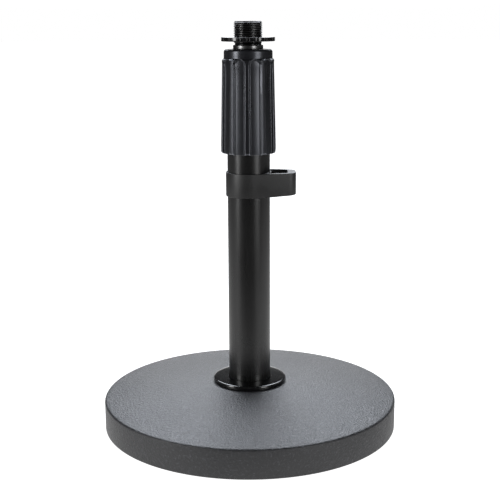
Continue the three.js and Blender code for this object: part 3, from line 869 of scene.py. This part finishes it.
def grip_plastic():
    """Satin black moulding, with a painted highlight: paler colour along the edges of its ribs, partly
    handling wear.
    """
    n = Nodes("grip_plastic")
    fine = n.noise(2200, 2, 0.5)
    flow = n.noise(35, 3, 0.55, n.stretched((3, 3, 0.4)))
    rub = n.noise(160, 4, 0.65)
    normal = n.bump(fine, 0.08, 0.00003)
    # Painted highlight: the sharpest rib edges below the flutes' ends get a paler colour. It stands in for
    # the thin specular lines on their rounded edges, with some rubbing wear.
    pointed = n.tree.nodes.new("ShaderNodeNewGeometry").outputs["Pointiness"]
    edge = n.remap(pointed, 0.510, 0.535, 0, 1)
    along = n.remap(n.split()["Z"], 0.206, 0.2105, 1, 0)
    wear_and_highlight = n.math("MULTIPLY", n.math("MULTIPLY", edge, along), n.remap(rub, 0.3, 0.6, 0.8, 1.0))
    body = n.mix(n.remap(flow, 0.35, 0.7, 0, 1), (0.0045, 0.0046, 0.0056), (0.0085, 0.0087, 0.0105))
    colour = n.mix(wear_and_highlight, body, (0.21, 0.215, 0.24))
    rough = n.math("ADD", n.remap(flow, 0.3, 0.7, 0.26, 0.32), n.remap(rub, 0.5, 0.8, 0.0, 0.05))
    return n.set(
        Base_Color=colour, Roughness=rough, Normal=normal, Specular_IOR_Level=1.0,
        Specular_Tint=(0.88, 0.91, 1.0),
    )


def clip_nylon():
    """Matt black moulded nylon with a fine grain."""
    n = Nodes("clip_nylon")
    fine = n.noise(1900, 3, 0.55)
    flow = n.noise(70, 3, 0.5)
    normal = n.bump(fine, 0.28, 0.00007)
    colour = n.mix(n.remap(flow, 0.35, 0.68, 0, 1), (0.0075, 0.0075, 0.0078), (0.014, 0.014, 0.0145))
    rough = n.math("ADD", n.remap(flow, 0.3, 0.7, 0.40, 0.50), n.remap(fine, 0.3, 0.7, -0.03, 0.03))
    return n.set(Base_Color=colour, Roughness=rough, Normal=normal, Specular_IOR_Level=0.8)


def plated():
    """Black plating, paler on the thread's crests: partly wear, partly a painted highlight; the dark roots
    stand in for shade.
    """
    n = Nodes("black_plated")
    fine = n.noise(3000, 2, 0.5)
    broad = n.noise(240, 3, 0.55)
    normal = n.bump(fine, 0.2, 0.00003)
    # The crests get a paler colour: wear, and a painted highlight that gives the thread its bright lines
    # against the dark, shaded roots.
    radius = n.length(n.stretched((1, 1, 0)))
    crest = n.remap(radius, 0.00755, 0.0079, 0, 1)
    wear_and_highlight = n.mix(n.remap(broad, 0.35, 0.7, 0, 1), (0.20, 0.20, 0.20), (0.32, 0.32, 0.32))
    colour = n.mix(crest, (0.035, 0.035, 0.036), wear_and_highlight)
    rough = n.remap(broad, 0.3, 0.7, 0.24, 0.34)
    return n.set(Base_Color=colour, Roughness=rough, Normal=normal, Metallic=1.0)


def metal(name, colour, dark, roughness, grain):
    """Bare or plated metal with turning marks round the axis and darker blotches."""
    n = Nodes(name)
    turned = n.noise(grain, 3, 0.6, n.stretched((0.4, 0.4, 6)))
    blotch = n.noise(90, 3, 0.6)
    normal = n.bump(turned, 0.2, 0.00004)
    shade = n.mix(n.remap(blotch, 0.3, 0.7, 0, 1), dark, colour)
    uneven = n.remap(blotch, 0.3, 0.7, roughness, roughness + 0.12)
    rough = n.math("ADD", uneven, n.remap(turned, 0.3, 0.7, -0.03, 0.03))
    return n.set(Base_Color=shade, Roughness=rough, Normal=normal, Metallic=1.0)


def soft_plastic(name, dark, light, roughness, grain, depth):
    """Unpainted plastic or rubber: two close tones and a fine grain."""
    n = Nodes(name)
    fine = n.noise(grain, 3, 0.6)
    broad = n.noise(120, 2, 0.5)
    normal = n.bump(fine, 0.4, depth)
    colour = n.mix(n.remap(broad, 0.3, 0.7, 0, 1), dark, light)
    rough = n.remap(fine, 0.3, 0.7, roughness - 0.05, roughness + 0.05)
    return n.set(Base_Color=colour, Roughness=rough, Normal=normal)


# ---------------------------------------------------------------- studio

FLOOR_LIGHT = 1.05
GLOW = 0.9                # the floor's reflected brightness beside the stand
GLOW_REACH = 0.5          # metres at which it has halved
GLOW_FRONT = 0.15         # the part of it left in front of the base
BACKDROP = 2.0
SHADE = 0.05              # the dark studio's own brightness
AIM = Vector((0, 0, 0.13))
LENS = 76.95
CAMERA_AT = (0.0005, -0.5986, 0.2372)
CAMERA_PITCH, CAMERA_ROLL = 12.50, -0.28


def disc(name, radius, height):
    points = arc(0, 0, radius, 0, 355, 71)
    mesh = bpy.data.meshes.new(name)
    mesh.from_pydata([(x, y, height) for x, y in points], [], [tuple(range(len(points)))])
    obj = bpy.data.objects.new(name, mesh)
    bpy.context.scene.collection.objects.link(obj)
    return obj


def smooth(tree, value, low, high, to_low, to_high):
    """A soft step from one value to another."""
    ramp = tree.nodes.new("ShaderNodeMapRange")
    ramp.interpolation_type = "SMOOTHSTEP"
    numbers = (low, high, to_low, to_high)
    for name, number in zip(("From Min", "From Max", "To Min", "To Max"), numbers):
        ramp.inputs[name].default_value = number
    tree.links.new(value, ramp.inputs["Value"])
    return ramp.outputs["Result"]


def studio_floor():
    """A white floor, and the part of it that shows in reflections: bright near the stand, then fading."""
    floor = disc("studio_floor", 9.0, 0.0)
    n = Nodes("floor_white")
    tone = n.mix(n.remap(n.noise(3, 2), 0.3, 0.7, 0, 1), (0.30, 0.30, 0.30), (0.32, 0.32, 0.32))
    floor.data.materials.append(n.set(
        Base_Color=tone, Roughness=0.9, Specular_IOR_Level=0.1,
        Emission_Color=(1.0, 1.0, 1.0), Emission_Strength=FLOOR_LIGHT,
    ))
    floor.visible_glossy = False

    glow = disc("floor_glow", 4.0, 0.0002)
    n = Nodes("floor_glow")
    reach = n.math("POWER", n.math("DIVIDE", n.length(n.place), GLOW_REACH), 2.0)
    front = smooth(n.tree, n.split()["Y"], -0.24, -0.10, GLOW_FRONT, 1.0)
    strength = n.math("MULTIPLY", front, n.math("DIVIDE", GLOW, n.math("ADD", 1.0, reach)))
    glow.data.materials.append(n.set(
        Base_Color=(0.0, 0.0, 0.0), Roughness=1.0, Specular_IOR_Level=0.0,
        Emission_Color=(1.0, 1.0, 1.0), Emission_Strength=strength,
    ))
    glow.visible_camera = glow.visible_diffuse = glow.visible_shadow = False


def studio_world():
    """Dark, with a narrow low white backdrop behind the stand; pure white where the camera sees it."""
    world = bpy.data.worlds.new("studio_world")
    bpy.context.scene.world = world
    world.use_nodes = True
    tree = world.node_tree
    background = tree.nodes["Background"]
    place = tree.nodes.new("ShaderNodeTexCoord")
    split = tree.nodes.new("ShaderNodeSeparateXYZ")
    tree.links.new(place.outputs["Generated"], split.inputs["Vector"])

    def join(operation, first, second):
        node = tree.nodes.new("ShaderNodeMath")
        node.operation = operation
        for socket, value in zip(node.inputs, (first, second)):
            if isinstance(value, float):
                socket.default_value = value
            else:
                tree.links.new(value, socket)
        return node.outputs["Value"]

    aside = join("ABSOLUTE", split.outputs["X"], 0.0)
    straight = smooth(tree, aside, 0.16, 0.34, BACKDROP, 0.0)
    behind = join("MULTIPLY", straight, smooth(tree, split.outputs["Y"], 0.3, 0.7, 0.0, 1.0))
    above_floor = smooth(tree, split.outputs["Z"], -0.01, 0.02, 0.0, 1.0)
    below_top = smooth(tree, split.outputs["Z"], 0.17, 0.27, 1.0, 0.0)
    light = join("ADD", SHADE, join("MULTIPLY", behind, join("MULTIPLY", above_floor, below_top)))
    path = tree.nodes.new("ShaderNodeLightPath")
    light = join("MAXIMUM", light, path.outputs["Is Camera Ray"])
    tree.links.new(light, background.inputs["Strength"])
    background.inputs["Color"].default_value = (1, 1, 1, 1)


def softbox(name, azimuth, distance, height, width, tall, radiance, tint=(1, 1, 1)):
    """A rectangular light aimed at the stand; azimuth 0 is the camera's side."""
    light = bpy.data.lights.new(name, "AREA")
    light.shape = "RECTANGLE"
    light.size, light.size_y = width, tall
    light.energy = radiance * math.pi * width * tall
    light.color = tint
    obj = bpy.data.objects.new(name, light)
    bpy.context.scene.collection.objects.link(obj)
    angle = math.radians(azimuth)
    obj.location = (distance * math.sin(angle), -distance * math.cos(angle), height)
    obj.rotation_euler = (AIM - obj.location).to_track_quat("-Z", "Y").to_euler()
    obj.visible_camera = False


def studio():
    studio_floor()
    studio_world()
    softbox("left_softbox", -61, 1.5, 0.38, 0.46, 1.3, 6.4)
    softbox("right_softbox", 46, 1.5, 0.34, 0.50, 1.2, 4.2)
    softbox("back_softbox", 180, 0.95, 1.23, 1.5, 1.0, 7.8, (0.90, 0.95, 1.03))


def camera():
    data = bpy.data.cameras.new("camera")
    data.sensor_width = 36
    data.lens = LENS
    obj = bpy.data.objects.new("camera", data)
    bpy.context.scene.collection.objects.link(obj)
    obj.location = CAMERA_AT
    pitched = Matrix.Rotation(math.radians(90 - CAMERA_PITCH), 4, "X")
    rolled = Matrix.Rotation(math.radians(CAMERA_ROLL), 4, "Z")
    obj.rotation_euler = (pitched @ rolled).to_euler()
    bpy.context.scene.camera = obj
    bpy.context.scene.view_settings.view_transform = "Standard"


# ---------------------------------------------------------------- build

def paint(obj, material):
    obj.data.materials.clear()
    obj.data.materials.append(material)


def main():
    zinc = metal("zinc_steel", (0.62, 0.63, 0.65), (0.48, 0.49, 0.50), 0.28, 700)
    brass = metal("clutch_brass", (0.71, 0.53, 0.27), (0.55, 0.39, 0.18), 0.25, 700)
    nylon = soft_plastic("natural_nylon", (0.64, 0.61, 0.52), (0.74, 0.71, 0.62), 0.5, 1500, 0.00005)
    rubber = soft_plastic("foot_rubber", (0.012, 0.012, 0.012), (0.022, 0.022, 0.021), 0.8, 1800, 0.0001)
    satin = enamel("satin_enamel", (0.0036, 0.0036, 0.0037), (0.007, 0.007, 0.0072), 0.29, 0.00005)
    gloss = enamel("gloss_enamel", (0.004, 0.004, 0.0045), (0.007, 0.007, 0.0075), 0.13, 0.00006)
    black = plated()

    paint(base_body(), powder_coat())
    for foot in rubber_feet():
        paint(foot, rubber)
    paint(flange(), gloss)
    paint(outer_tube(), satin)
    paint(inner_tube(), satin)
    paint(thread_adapter(), black)
    paint(lock_ring(), gloss)
    paint(roll_pin(), zinc)
    paint(base_bolt(), zinc)
    paint(flat_washer(), zinc)
    paint(spring_washer(), zinc)
    paint(handle_grip(), grip_plastic())
    paint(cable_clip(), clip_nylon())

    for node, material in (
        ("tube_foot_plug", zinc), ("retaining_ring", zinc), ("clutch_body", brass), ("handle_core", brass),
        ("clutch_collet", nylon), ("thrust_ring", nylon), ("guide_bush", nylon),
    ):
        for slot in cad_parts[node].material_slots:
            slot.material = material
    studio()
    camera()


main()
